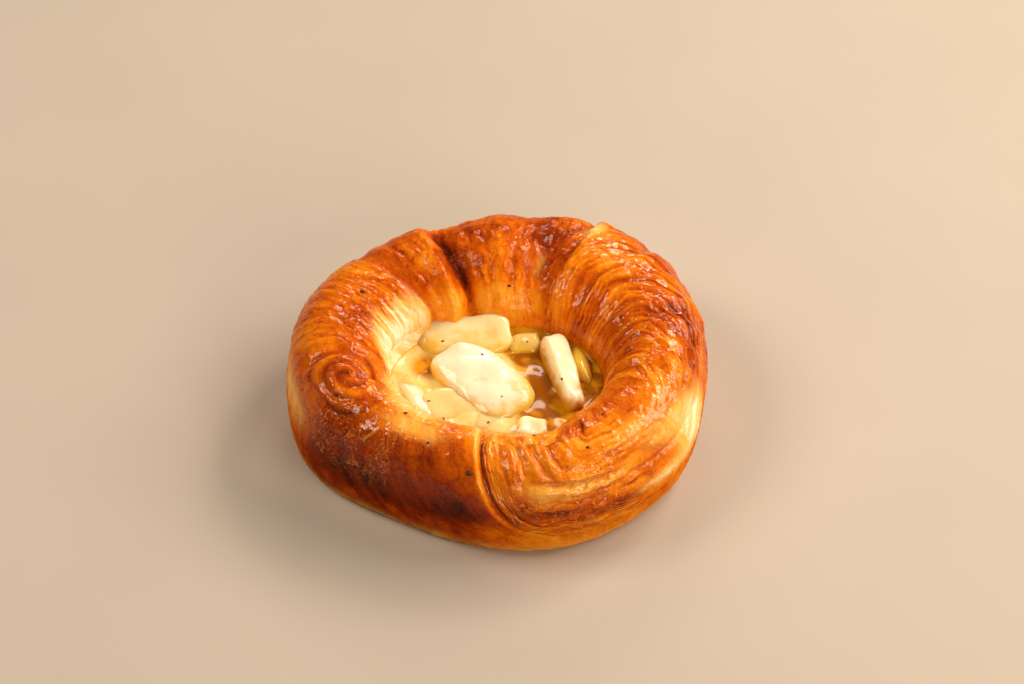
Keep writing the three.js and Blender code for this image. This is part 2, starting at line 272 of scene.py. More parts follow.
def dough_points(g, p, extra=0.0):
    """Points of the dough in mm for grids of g and p."""
    def plain(gg, pp):
        return ring_point(leaned(gg, pp), pp)
    at = plain(g, p)
    side = plain(g + 0.3, p) - plain(g - 0.3, p)
    rise = plain(g, np.minimum(179.5, p + 0.6)) - plain(g, np.maximum(-89.5, p - 0.6))
    normal = np.cross(side, rise)
    normal /= np.maximum(np.linalg.norm(normal, axis=-1, keepdims=True), 1e-9)
    at = at + normal * (fold_lift(g, p) + extra)[..., None]
    at[..., 2] = np.where(p <= -89.9, 0, np.maximum(at[..., 2], 0.15))
    return at


# ------------------------------------------------------------------ where the layers and colours lie
def layer_lines(g, p):
    """(distance across the layers in mm, how strongly they show from 0 to 1)."""
    scale = per_degree(p)
    a = leaned(g, p)
    lines = turn_from(g, 220) * scale * 0.9 + p * 0.05
    depth = 0.10 + 0.16 * between(turn_from(g, 232), -20, 32, 8)

    def region(value, strength):
        nonlocal lines, depth
        lines = np.where(strength > depth, value, lines)
        depth = np.maximum(depth, strength)

    side = turn_from(g, FRONT_SEAM) * scale
    fan = smooth(0.2, 1.2, side) * (1 - smooth(36, 58, side)) * between(p, -20, 116, 10)
    region(front_ribs(g, p), fan * mix(0.66, 0.8, 1 - smooth(2, 6, front_ribs(g, p))))
    sweep = 30 * np.clip((112 - p) / 65, 0, 1.6) ** 1.4
    right = between(turn_from(g, 20), -45, 46, 7) * between(p, 0, 158, 14)
    region((turn_from(a, 0) + sweep) * 0.8, 0.62 * right)
    back = between(g, 62, 132, 4) * between(p, 10, 156, 16)
    region(turn_from(g, 90) * scale * 0.9, 0.42 * back)
    flap = between(g, 136, 184, 3) * between(p, 30, 150, 14)
    region(turn_from(g, 150) * scale * 1.4, flap * (0.36 + 0.5 * spot(g, p, 154, 126, 10, 18)))
    eye, swirl = eye_spiral(g, p)
    region(swirl * 0.8, 0.45 * (1 - smooth(8, 13, eye)))
    return lines, depth


def fan_share(g, p):
    """Where the cut ends of the layers show as thin edges: the layered end at the front."""
    side = turn_from(g, FRONT_SEAM) * per_degree(p)
    rim = 1 - smooth(2.5, 6.5, front_ribs(g, p))
    share = smooth(0.2, 1.0, side) * (1 - smooth(34, 52, side)) * between(p, -20, 112, 8)
    return share * mix(0.15, 1.0, rim)


# patches: (how much, its g, its p, half width, half height)
BROWN_PATCHES = (
    (0.26, 70, 82, 8, 16),      # beside the lobe
    (0.10, 204, 88, 4, 9),      # heart of the eye
    (0.18, 202, 92, 12, 24),    # round the eye
    (0.24, 318, 106, 10, 12),   # inner edge, front right
    (0.16, 158, 108, 13, 13),   # inner edge, back left
    (0.12, 276, 50, 9, 24),     # left part of the layered end
    (-0.28, 290, 33, 15, 7),    # the roll across the layered end
    (-0.22, 236, 76, 15, 15),   # shoulder, front left: lighter, a paler crest with a painted highlight
)
BROWN_PATCHES_LEANED = (
    (0.14, 217, 40, 10, 24),    # below the eye
    (0.10, 0, 124, 22, 20),     # inner wall, right
    (0.08, 12, 60, 26, 34),     # outer side, right
    (0.24, 292, 10, 28, 14),    # low under the layered end
    (-0.10, 120, 100, 6, 30),   # between crease and flap
    (-0.14, 332, 72, 16, 14),   # shoulder, front right
)
PALE_PATCHES = (
    (0.70, 231, 112, 15, 15),   # inner edge, front left: pale dough with a painted highlight
    (0.42, 238, 80, 12, 14),    # shoulder, front left: paler crest with a painted highlight
    (1.10, 338, 20, 9, 16),     # the seam low on the right
    (0.50, 329, 44, 11, 13),    # above it: cream dough with a painted highlight
    (0.65, 322, 6, 11, 7),      # its foot
    (0.34, 284, 40, 13, 7),     # painted highlight under the lip of the layered end
    (0.26, 316, 66, 8, 14),     # painted highlight on the shoulder, front right
    (0.60, 56, 70, 3.4, 12),    # edge of the lobe
    (0.42, 188, 18, 15, 20),    # low on the left: pale side, partly a painted reflection
    (0.20, 70, 112, 4, 18),     # beside the lobe, inner side
)
GLOSSY_PATCHES = (
    (0.9, 326, 62, 16, 20),     # shoulder, front right
    (0.7, 290, 34, 15, 9),      # the roll across the layered end
    (0.7, 234, 68, 14, 14),     # shoulder, front left
)


def browning_and_shade(g, p):
    """How dark the crust is, 0 pale dough to 1 dark brown: its browning, with painted shade added low on the
    front left.
    """
    a = leaned(g, p)
    eye, swirl = eye_spiral(g, p)
    brown = 0.46 + 0.05 * np.sin(2 * a * RAD + 1.0)
    brown += patches(BROWN_PATCHES, g, p) + patches(BROWN_PATCHES_LEANED, a, p)
    # darker on the front left and towards its bottom: partly deeper browning, partly painted shade on the side
    # turned from the light
    brown += 0.15 * between(turn_from(a, 235), -24, 28, 8) * between(p, -10, 84, 16)
    brown += 0.25 * between(turn_from(a, 236), -34, 32, 12) * (1 - smooth(0, 46, p))
    brown += 0.09 * between(g, 236, 263, 5) * between(p, 0, 84, 12)
    brown -= 0.14 * between(turn_from(a, 275), -16, 16, 5) * between(p, 84, 126, 8)
    brown += 0.07 * np.sin(swirl * 1.1 + 3.4) * (1 - smooth(9, 15, eye))
    arcs = smooth(0.2, 0.8, np.cos((g - 208) * 6 * RAD) * 0.5 + 0.5)
    brown += 0.20 * bell(eye - 12 - 1.2 * np.sin(0.3 * g), 0.9) * arcs
    brown += 0.36 * bell(turn_from(g, CREASE), 3.0) * between(p, 62, 146, 14)
    brown += 0.10 * bell(turn_from(g, LOBE_SEAM + 4), 3) * between(p, 96, 150, 14)
    brown += 0.16 * between(g, 62, 134, 6) * between(p, 50, 124, 12)
    brown -= 0.14 * between(g, 66, 132, 6) * smooth(124, 142, p)
    return np.clip(brown, 0, 1)


def paleness_and_highlights(g, p):
    """Where the crust is paler: dough that stayed pale at the seam low on the right and on the slope into the
    well on the left, and painted highlights on the shoulders, the flap and the layered end.
    """
    slope = 125 + 27 * bell(turn_from(g, 188), 14)
    pale = 0.95 * between(turn_from(g, 182), -44, 44, 8) * smooth(-16, 20, p - slope)
    pale += patches(PALE_PATCHES, g, p)
    pale += 0.30 * bell(from_flake(g, p), 0.6) * between(p, *FLAKE_SPAN)
    # painted highlight streaks across the flap, with orange between them
    highlight_streaks = np.sin(g * 1.6 + 0.03 * p + 1.6 * np.sin(0.55 * g)) + 0.6 * np.sin(g * 2.9 - 0.02 * p)
    pale += 0.28 * highlight_streaks * spot(g, p, 154, 130, 11, 15)
    pale += 0.40 * smooth(160, 178, p)
    pale += 0.30 * (1 - smooth(-60, -15, p))
    return np.clip(pale, 0, 1)


def egg_wash(g, p):
    """How thickly the wash lies: none low on the side, thin at the back, thick on the shoulders."""
    share = 1 - 0.5 * between(g, 60, 136, 6) * between(p, 20, 170, 14)
    share -= 0.4 * bell(turn_from(g, CREASE), 5) + 0.25 * between(g, 136, 196, 8)
    return smooth(-8, 34, p) * (share + patches(GLOSSY_PATCHES, g, p))


def blistering(g, p):
    """Where the crust is blistered: below the eye and on the layered end."""
    below_eye = between(turn_from(leaned(g, p), 218), -12, 18, 8) * between(p, 6, 78, 14)
    layered_end = 0.8 * between(turn_from(g, 284), -14, 22, 7) * between(p, -4, 62, 12)
    return np.maximum(below_eye, layered_end)


def fold_shade(g, p):
    """Painted shade in the hollows of the folds and on their steep sides."""
    hollow = (fold_lift(g + 2, p) + fold_lift(g - 2, p)) / 2 - fold_lift(g, p)
    steep = np.abs(fold_lift(g + 0.5, p) - fold_lift(g - 0.5, p))
    steep += np.abs(fold_lift(g, p + 1) - fold_lift(g, p - 1))
    return np.clip(hollow * 0.9, 0, 1) + 0.2 * np.clip(steep, 0, 1)


# ------------------------------------------------------------------ meshes and node trees in code
def mesh_object(name, points, faces, attributes=None):
    mesh = bpy.data.meshes.new(name)
    mesh.from_pydata([tuple(v) for v in np.asarray(points) * MM], [], faces)
    for key, values in (attributes or {}).items():
        layer = mesh.attributes.new(key, "FLOAT", "POINT")
        layer.data.foreach_set("value", np.asarray(values, dtype=np.float32).ravel())
    mesh.polygons.foreach_set("use_smooth", [True] * len(mesh.polygons))
    mesh.update()
    piece = bpy.data.objects.new(name, mesh)
    bpy.context.scene.collection.objects.link(piece)
    return piece


def grid_faces(rows, count):
    """Quads between closed rows of points, with fans to a point before and a point after them."""
    last = 1 + rows * count
    faces = []
    for i in range(count):
        j = (i + 1) % count
        faces.append((0, 1 + j, 1 + i))
        for r in range(rows - 1):
            low = 1 + r * count
            high = low + count
            faces.append((low + i, low + j, high + j, high + i))
        faces.append((last - count + i, last - count + j, last))
    return faces


class Value:
    """A node socket that takes part in sums and products: each step is one Math node."""

    def __init__(self, graph, socket):
        self.graph = graph
        self.socket = socket

    def __add__(self, other):
        return self.graph.math("ADD", self, other)

    def __sub__(self, other):
        return self.graph.math("SUBTRACT", self, other)

    def __rsub__(self, other):
        return self.graph.math("SUBTRACT", other, self)

    def __mul__(self, other):
        return self.graph.math("MULTIPLY", self, other)

    def __truediv__(self, other):
        return self.graph.math("DIVIDE", self, other)

    __radd__ = __add__
    __rmul__ = __mul__

    def unsigned(self):
        return self.graph.math("ABSOLUTE", self)

    def wrapped(self):
        """The part above the whole number."""
        return self.graph.math("FRACT", self)

    def clamped(self):
        """Held between 0 and 1."""
        return self.graph.math("ADD", self, 0.0, clamp=True)

    def smooth(self, low, high):
        """0 below low, 1 above high."""
        node = self.graph.node("ShaderNodeMapRange", {"interpolation_type": "SMOOTHSTEP"}, {
            "Value": self, "From Min": low, "From Max": high, "To Min": 0.0, "To Max": 1.0})
        return Value(self.graph, node.outputs[0])


class Graph:
    """A node tree, and the one method that adds a node of any kind."""

    def __init__(self, tree):
        self.tree = tree

    def put(self, socket, value):
        if isinstance(value, Value):
            value = value.socket
        if isinstance(value, bpy.types.NodeSocket):
            self.tree.links.new(value, socket)
        else:
            socket.default_value = value

    def node(self, kind, settings=None, inputs=None):
        made = self.tree.nodes.new(kind)
        for key, value in (settings or {}).items():
            setattr(made, key, value)
        for key, value in (inputs or {}).items():
            self.put(made.inputs[key], value)
        return made

    def math(self, operation, *values, clamp=False):
        settings = {"operation": operation, "use_clamp": clamp}
        made = self.node("ShaderNodeMath", settings, dict(enumerate(values)))
        return Value(self, made.outputs[0])


class Shader(Graph):
    """A material: its tree, and what its colour, roughness and relief are made from."""

    def __init__(self, name, **constants):
        self.material = bpy.data.materials.new(name)
        self.material.use_nodes = True
        super().__init__(self.material.node_tree)
        self.surface = self.tree.nodes["Principled BSDF"]
        for key, value in constants.items():
            self.surface.inputs[key.replace("_", " ")].default_value = value
        self.place = self.node("ShaderNodeTexCoord").outputs["Object"]
        self.bumped = None

    def attribute(self, name):
        return Value(self, self.node("ShaderNodeAttribute", {"attribute_name": name}).outputs["Fac"])

    def noise(self, size_mm, detail=3.0, rough=0.5, twist=0.0):
        """Noise from 0 to 1 whose lumps are about that size."""
        made = self.node("ShaderNodeTexNoise", inputs={
            "Vector": self.place, "Scale": 1 / (size_mm * MM), "Detail": detail, "Roughness": rough,
            "Distortion": twist})
        return Value(self, made.outputs["Fac"])

    def cracks(self, size_mm, detail, rough, twist):
        """0 on thin winding lines, rising to 0.5 away from them."""
        return (self.noise(size_mm, detail, rough, twist) - 0.5).unsigned()

    def streaks(self, length_mm, across):
        """Noise from 0 to 1 that changes quickly with across and slowly from place to place."""
        made = self.node("ShaderNodeTexNoise", {"noise_dimensions": "4D"}, {
            "Vector": self.place, "W": across * (length_mm * MM), "Scale": 1 / (length_mm * MM), "Detail": 2.0})
        return Value(self, made.outputs["Fac"])

    def cells(self, size_mm):
        """The distance from the nearest of many scattered points."""
        made = self.node("ShaderNodeTexVoronoi", inputs={"Vector": self.place, "Scale": 1 / (size_mm * MM)})
        return Value(self, made.outputs["Distance"])

    def blend(self, amount, first, second):
        """From the first colour at 0 to the second at 1."""
        made = self.node("ShaderNodeMix", {"data_type": "RGBA"})
        self.put(made.inputs[0], amount)
        for place, colour in ((6, first), (7, second)):
            self.put(made.inputs[place], (*colour, 1) if isinstance(colour, tuple) else colour)
        return made.outputs[2]

    def ramp(self, amount, stops):
        """A colour for each amount, from (amount, colour) stops."""
        made = self.node("ShaderNodeValToRGB", inputs={0: amount})
        bar = made.color_ramp
        while len(bar.elements) < len(stops):
            bar.elements.new(0.5)
        for element, (at, colour) in zip(bar.elements, stops):
            element.position = at
            element.color = (*colour, 1)
        return made.outputs[0]

    def relief(self, height, strength, distance_mm):
        """Adds a fine bump on top of those before it."""
        inputs = {"Height": height, "Strength": strength, "Distance": distance_mm * MM}
        if self.bumped is not None:
            inputs["Normal"] = self.bumped
        self.bumped = self.node("ShaderNodeBump", inputs=inputs).outputs[0]
        self.put(self.surface.inputs["Normal"], self.bumped)

    def set(self, **values):
        for key, value in values.items():
            self.put(self.surface.inputs[key.replace("_", " ")], value)


def geometry_tree(name, sizes):
    """A Geometry Nodes tree with a Geometry input and one named input for each size."""
    tree = bpy.data.node_groups.new(name, "GeometryNodeTree")
    tree.interface.new_socket("Geometry", in_out="INPUT", socket_type="NodeSocketGeometry")
    for key, value in sizes.items():
        kind = "NodeSocketInt" if isinstance(value, int) else "NodeSocketFloat"
        tree.interface.new_socket(key, in_out="INPUT", socket_type=kind).default_value = value
    tree.interface.new_socket("Geometry", in_out="OUTPUT", socket_type="NodeSocketGeometry")
    graph = Graph(tree)
    start = graph.node("NodeGroupInput")
    return graph, start


def finish_tree(graph, geometry, material):
    """Ends a tree: plain geometry in its material."""
    real = graph.node("GeometryNodeRealizeInstances", inputs={0: geometry})
    painted = graph.node("GeometryNodeSetMaterial", inputs={"Geometry": real.outputs[0], "Material": material})
    graph.put(graph.node("NodeGroupOutput").inputs[0], painted.outputs[0])


def grown(piece, graph, sizes, name=None):
    """Runs the tree on the piece and returns the result as a plain mesh object."""
    modifier = piece.modifiers.new(graph.tree.name, "NODES")
    modifier.node_group = graph.tree
    for item in graph.tree.interface.items_tree:
        if item.in_out == "INPUT" and item.name in sizes:
            modifier[item.identifier] = sizes[item.name]
    bpy.context.view_layer.update()
    evaluated = piece.evaluated_get(bpy.context.evaluated_depsgraph_get())
    mesh = bpy.data.meshes.new_from_object(evaluated)
    piece.modifiers.remove(modifier)
    if name is None:
        piece.data = mesh
        return piece
    made = bpy.data.objects.new(name, mesh)
    bpy.context.scene.collection.objects.link(made)
    return made


# ------------------------------------------------------------------ materials
def crust_material():
    """Egg-washed laminated crust: orange, streaked brown along the layers, pale where it was folded in, with
    painted light and shade on its ribs, flake edges and folds and painted highlights in some pale patches.
    """
    shader = Shader("egg_washed_crust", Subsurface_Weight=0.07, Subsurface_Scale=0.003, Coat_Roughness=0.10,
                    Coat_IOR=1.5, Specular_IOR_Level=0.02)
    shader.surface.inputs["Subsurface Radius"].default_value = (1.0, 0.35, 0.12)
    brown, pale, relief, depth, crease, blister, fan, rim, washed = (
        shader.attribute(name) for name in
        ("brown", "pale", "relief", "layer_depth", "crease", "blister", "fan", "seam_rim", "washed"))

    cloud = shader.noise(11, 4, 0.55)
    mottle = shader.noise(3.0, 4, 0.6)
    grain = shader.noise(0.7, 3, 0.6)
    line = shader.attribute("layer") + (shader.noise(12, 2) - 0.5) * 5.0 + (mottle - 0.5) * (2.6 - fan * 1.4)
    streak = shader.streaks(18, line / 2.4)
    fine = shader.streaks(7, line / 0.8)
    fleck = shader.streaks(2.4, line / 0.6).smooth(0.56, 0.70) * cloud.smooth(0.36, 0.58)
    turn = (line / 1.1 + (cloud - 0.5) * 1.5).wrapped()
    # edge: a pale line along each flake edge, partly paler dough, partly painted light caught by the edge;
    # under: painted shade just below it
    edge = turn.smooth(0.60, 0.80) * (1 - turn.smooth(0.92, 0.99)) * mottle.smooth(0.40, 0.58) * fan
    under = (1 - turn.smooth(0.0, 0.30)) * fan
    crackle = shader.cracks(2.6, 4, 0.6, 0.6)
    small = shader.cracks(1.2, 4, 0.6, 0.8)
    flakes = ((1 - crackle.smooth(0.0, 0.04)) * mottle.smooth(0.44, 0.56)
              + (1 - small.smooth(0.0, 0.05)) * cloud.smooth(0.48, 0.60) * 0.3) * blister
    wrinkles = shader.cracks(1.7, 5, 0.7, 0.8)
    dark_wrinkles = (1 - wrinkles.smooth(0.0, 0.035)) * mottle.smooth(0.44, 0.60)
    pimples = 1 - shader.cells(0.9).smooth(0.1, 0.55)

    amount = (brown + (cloud - 0.5) * 0.46 + (mottle - 0.5) * 0.24 + (grain - 0.5) * 0.12
              + (streak - 0.5) * (depth * 1.1 + 0.06) + (fine - 0.5) * (depth * 0.36 + 0.02)
              # crease: painted shade in the hollows and on the steep sides of the folds
              # relief: painted light on the raised ribs and painted shade in their valleys
              - relief * depth * 0.42 + crease * 0.14 + under * 0.24 - rim * 0.3
              + (0.09 - crackle) * blister * 0.8 - flakes * 0.30 + fleck * 0.12 + dark_wrinkles * 0.10)
    crust = shader.ramp(amount.clamped(), (
        (0.00, (0.96, 0.60, 0.17)),
        (0.20, (0.92, 0.40, 0.035)),
        (0.40, (0.80, 0.220, 0.004)),
        (0.56, (0.58, 0.100, 0.0015)),
        (0.76, (0.27, 0.027, 0.001)),
        (1.00, (0.06, 0.006, 0.0008)),
    ))
    ripple = (mottle - 0.5) * 0.4 + (cloud - 0.5) * 0.5 + (streak - 0.5) * 0.9 + (fine - 0.5) * 0.5
    fade = pale * 1.1 + ripple * (pale * 1.6 + 0.1).clamped()
    # pale dough in two tones; its lighter stripes are partly painted highlight streaks
    layers = (streak * 0.6 + fine * 0.4).smooth(0.38, 0.60)
    dough = shader.blend(layers, (0.92, 0.54, 0.16), (0.98, 0.84, 0.60))
    golden = shader.blend(fade.smooth(0.05, 0.55) * 0.85, crust, (0.96, 0.52, 0.10))
    layered = shader.blend((edge * 0.7 + flakes * 0.28).clamped(), golden, (0.90, 0.42, 0.09))
    shader.set(Base_Color=shader.blend(fade.smooth(0.42, 1.05), layered, dough))

    broken = shader.cracks(1.3, 4, 0.65, 1.0).smooth(0.004, 0.05)
    speckle = shader.noise(0.45, 2, 0.6).smooth(0.30, 0.52)
    gloss = (0.80 - pale * 0.10 + (cloud - 0.5) * 1.2 + (mottle - 0.5) * 0.7).clamped()
    shader.set(Roughness=0.42 + (mottle - 0.5) * 0.2 + pale * 0.08 + (1 - washed) * 0.2)
    shader.set(Coat_Weight=(gloss * broken * (speckle * 0.6 + 0.4) * washed).clamped())

    shader.relief(streak * depth + fine * depth * 0.3, 0.35, 0.4)
    shader.relief(turn.smooth(0.0, 0.8) * (1 - turn.smooth(0.88, 1.0)) * fan, 0.7, 0.25)
    shader.relief(shader.noise(2.2, 3, 0.6, 0.4), 0.6, 0.5)
    shader.relief(crackle * (blister + 0.15), 0.6, 0.8)
    shader.relief(wrinkles.smooth(0.0, 0.05) * (1 - pale * 0.8), 0.5, 0.10)
    shader.relief(pimples * mottle.smooth(0.38, 0.60), 0.7, 0.10)
    shader.relief(shader.noise(0.6, 2, 0.6), 0.9, 0.10)
    return shader.material


def fruit_material(name, light, deep):
    """Cooked fruit: pale and waxy on top, yellow and translucent towards the syrup."""
    shader = Shader(name, Subsurface_Weight=0.6, Subsurface_Scale=0.005, Coat_Weight=0.75, Coat_Roughness=0.07,
                    Specular_IOR_Level=0.12)
    shader.surface.inputs["Subsurface Radius"].default_value = (1.0, 0.7, 0.35)
    cloud = shader.noise(5, 3, 0.5, 0.6)
    streak = shader.noise(1.6, 3, 0.5, 0.4)
    lit = (shader.attribute("up") + (cloud - 0.5) * 0.9 + (streak - 0.5) * 0.3).smooth(0.22, 0.80)
    toasted = shader.noise(2.6, 3, 0.6).smooth(0.62, 0.72) * (1 - lit * 0.9)
    shader.set(Base_Color=shader.blend(toasted * 0.7, shader.blend(lit, deep, light), (0.50, 0.16, 0.01)))
    shader.set(Roughness=0.22 + streak * 0.16)
    shader.relief(shader.noise(4.0, 4, 0.6), 0.45, 0.7)
    shader.relief(shader.noise(0.9, 2, 0.5), 0.3, 0.10)
    return shader.material


def custard_material():
    """Pale cloudy custard, with clear amber syrup where it is thin."""
    shader = Shader("custard_and_syrup", Subsurface_Weight=0.25, Subsurface_Scale=0.003, Coat_Weight=0.55,
                    Coat_Roughness=0.06, Roughness=0.3, Specular_IOR_Level=0.08)
    shader.surface.inputs["Subsurface Radius"].default_value = (1.0, 0.5, 0.12)
    cloud = shader.noise(6, 4, 0.55, 0.8)
    streak = shader.noise(1.8, 3, 0.5, 0.5)
    thin = (shader.attribute("amber") + (cloud - 0.5) * 0.7 + (streak - 0.5) * 0.2).smooth(0.2, 0.8)
    milky = cloud.smooth(0.35, 0.65)
    custard = shader.blend(milky, (0.80, 0.52, 0.12), (0.86, 0.67, 0.28))
    clear = (milky - shader.attribute("gap")).clamped()
    syrup = shader.blend(clear, (0.30, 0.085, 0.001), (0.78, 0.34, 0.005))
    shader.set(Base_Color=shader.blend(thin, custard, syrup))
    shader.relief(cloud, 0.3, 0.6)
    shader.relief(streak, 0.2, 0.1)
    return shader.material


def speck_material(name, dark, light):
    """Dry dark grains."""
    shader = Shader(name, Roughness=0.5, Specular_IOR_Level=0.4)
    shader.set(Base_Color=shader.blend(shader.noise(0.3, 2, 0.5), dark, light))
    shader.relief(shader.noise(0.15, 2, 0.5), 0.5, 0.1)
    return shader.material


# ------------------------------------------------------------------ the dough
AROUND = 640
SECTION_ROWS = np.concatenate([
    np.linspace(-90, 0, 13)[:-1],
    np.linspace(0, 90, 62)[:-1],
    np.linspace(90, 160, 52)[:-1],
    np.linspace(160, 180, 7),
])
# rows over the floor of the well: (share of the way to its middle, mm above it)
FLOOR_ROWS = ((0.12, 0.8), (0.35, 0.0), (0.7, 0.0))
# pitches in mm across the layers, depths and heights in metres
LAYER_SIZES = {"Rib pitch": 3.2, "Rib depth": 0.0009, "Flake pitch": 2.1, "Flake depth": 0.0004,
               "Blister height": 0.0009, "Wrinkle height": 0.0003, "Pimple height": 0.00018}


def dough_looks(g, p):
    """What the crust and its layers read at each point, by name."""
    lines, depth = layer_lines(g, p)
    rim = bell(-turn_from(g, FRONT_SEAM) * per_degree(p) - 0.8, 0.7) * between(p, 0, 118, 10)
    return {
        "layer": lines,
        "layer_depth": depth,
        "fan": fan_share(g, p),
        "washed": egg_wash(g, p),
        "seam_rim": rim,
        "brown": browning_and_shade(g, p),
        "pale": paleness_and_highlights(g, p),
        # painted shade in the hollows and on the steep sides of the folds
        "crease": fold_shade(g, p),
        "blister": blistering(g, p),
    }


def dough_skin():
    """The closed skin: the ring from its resting face to the foot of the well, and the floor of the well."""
    g, p = np.meshgrid(np.arange(AROUND) * 360 / AROUND, SECTION_ROWS)
    points = dough_points(g, p)
    centre = np.array([*WELL_CENTRE, FLOOR_HEIGHT])
    floor_rows = []
    for share, height in FLOOR_ROWS:
        row = mix(points[-1], centre, share)
        row[:, 2] = FLOOR_HEIGHT + height
        floor_rows.append(row)
    all_rows = np.concatenate([points, np.stack(floor_rows)])
    flat = np.concatenate([[[0, 0, 0]], all_rows.reshape(-1, 3), [centre]])
    attributes = {}
    for key, grid in dough_looks(g, p).items():
        ends = np.repeat(grid[-1:], len(floor_rows), axis=0)
        full = np.concatenate([grid, ends]).ravel()
        attributes[key] = np.concatenate([[full[0]], full, [full[-1]]])
    return mesh_object("dough_ring", flat, grid_faces(len(all_rows), AROUND), attributes)


def bake_layers(piece, material):
    """Raises the ribs, flakes, blisters and pimples of the baked crust out of the skin."""
    graph, start = geometry_tree("Baked layers", LAYER_SIZES)
    place = graph.node("GeometryNodeInputPosition").outputs[0]

    def size(key):
        return Value(graph, start.outputs[key])

    def named(key):
        made = graph.node("GeometryNodeInputNamedAttribute", {"data_type": "FLOAT"}, {"Name": key})
        return Value(graph, made.outputs[0])

    def noise(size_mm, detail=2.0, across=None):
        """Noise from -0.5 to 0.5; with across it changes with that value and runs on along the layers."""
        kind = "3D" if across is None else "4D"
        made = graph.node("ShaderNodeTexNoise", {"noise_dimensions": kind}, {
            "Vector": place, "Scale": 1 / (size_mm * MM), "Detail": detail})
        if across is not None:
            graph.put(made.inputs["W"], across * (size_mm * MM))
        return Value(graph, made.outputs["Fac"]) - 0.5

    line = named("layer")
    show = named("layer_depth")
    bend = line + noise(14) * 4.0 + noise(5) * 1.0
    ribs = noise(16, 1.5, bend / size("Rib pitch"))
    turn = (bend / size("Flake pitch") + noise(6) * 1.6).wrapped()
    flake = turn.smooth(0.0, 0.75) * (1 - turn.smooth(0.88, 1.0))
    patch = noise(6, 2.0).smooth(-0.04, 0.14)
    relief = ribs * 1.8 + (flake - 0.5) * patch * 0.5
    blister = (0.12 - noise(4.5, 3.0).unsigned()) * 3 * named("blister")
    lift = (ribs * 2 * show * size("Rib depth") + (flake - 0.5) * patch * show * size("Flake depth")
            + blister * size("Blister height") + noise(3.0, 3.0) * size("Wrinkle height") * 2
            + noise(1.5, 2.0) * size("Pimple height") * 2)
    normal = graph.node("GeometryNodeInputNormal").outputs[0]
    offset = graph.node("ShaderNodeVectorMath", {"operation": "SCALE"}, {0: normal, "Scale": lift})
    # relief, the height of the ribs and flakes, becomes painted light on the ridges and painted shade in the
    # valleys of the crust colour
    keep = graph.node("GeometryNodeStoreNamedAttribute", {"data_type": "FLOAT", "domain": "POINT"}, {
        "Geometry": start.outputs["Geometry"], "Name": "relief", "Value": relief})
    moved = graph.node("GeometryNodeSetPosition", inputs={
        "Geometry": keep.outputs[0], "Offset": offset.outputs[0]})
    finish_tree(graph, moved.outputs[0], material)
    return grown(piece, graph, LAYER_SIZES)


def build_dough():
    piece = bake_layers(dough_skin(), crust_material())
    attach(piece, "root")
    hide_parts("dough")
    return piece


# ------------------------------------------------------------------ fruit and custard
FRUIT_AROUND = 128
FRUIT_ROWS = 64
# at: middle; size: half sizes; full: 2 is a ball and more is squarer; turn, tip, roll: degrees about
# Z, Y and X; taper: how it narrows; bend: mm of bow; light, deep: its colours on top and near the syrup
FRUIT = {
    "fruit_slice_front": dict(
        at=(-8.6, -15.4, 15.6), size=(11.4, 6.6, 2.6), full=3.0, turn=-14, tip=2, roll=6, taper=0.1,
        light=(0.80, 0.59, 0.24), deep=(0.72, 0.40, 0.05)),
    "fruit_lump": dict(
        at=(-3.9, -4.9, 14.8), size=(14.6, 9.0, 6.0), full=2.9, turn=-46, tip=3, roll=2, taper=-0.14,
        light=(0.85, 0.79, 0.60), deep=(0.78, 0.47, 0.05)),
    "fruit_slab_right": dict(
        at=(16.2, -2.8, 15.8), size=(12.4, 3.0, 5.1), full=5.5, turn=-77, tip=3, roll=-16, taper=0.16,
        light=(0.95, 0.87, 0.58), deep=(0.68, 0.31, 0.005), bend=0.15),
    "fruit_slab_back_left": dict(
        at=(-8.2, 10.2, 17.0), size=(12.0, 6.6, 2.6), full=3.6, turn=4, tip=-4, roll=22, taper=0.12,
        light=(0.86, 0.71, 0.38), deep=(0.76, 0.46, 0.06)),
    "fruit_piece_back": dict(
        at=(6.9, 9.0, 15.2), size=(4.6, 3.4, 3.0), full=3.4, turn=12, tip=0, roll=16, taper=0,
        light=(0.84, 0.60, 0.18), deep=(0.66, 0.34, 0.012)),
    "fruit_wedge_far_right": dict(
        at=(20.8, 1.2, 14.6), size=(8.4, 3.0, 4.0), full=3.0, turn=-68, tip=0, roll=16, taper=0.15,
        light=(0.82, 0.50, 0.05), deep=(0.62, 0.28, 0.005)),
    "fruit_slice_front_left": dict(
        at=(-20.4, -11.2, 15.4), size=(10.2, 3.0, 2.6), full=3.0, turn=-62, tip=0, roll=-12, taper=0.1,
        light=(0.94, 0.76, 0.44), deep=(0.90, 0.62, 0.24)),
    "fruit_chunk_front": dict(
        at=(8.6, -22.8, 15.8), size=(3.6, 3.4, 4.0), full=5.0, turn=-8, tip=0, roll=-4, taper=0,
        light=(0.94, 0.78, 0.48), deep=(0.86, 0.54, 0.16)),
}


def turning(roll, tip, turn):
    """The matrix of a turn about X, then Y, then Z."""
    cr, sr = math.cos(roll * RAD), math.sin(roll * RAD)
    cp, sp = math.cos(tip * RAD), math.sin(tip * RAD)
    ct, st = math.cos(turn * RAD), math.sin(turn * RAD)
    about_x = np.array([[1, 0, 0], [0, cr, -sr], [0, sr, cr]])
    about_y = np.array([[cp, 0, sp], [0, 1, 0], [-sp, 0, cp]])
    about_z = np.array([[ct, -st, 0], [st, ct, 0], [0, 0, 1]])
    return about_z @ about_y @ about_x


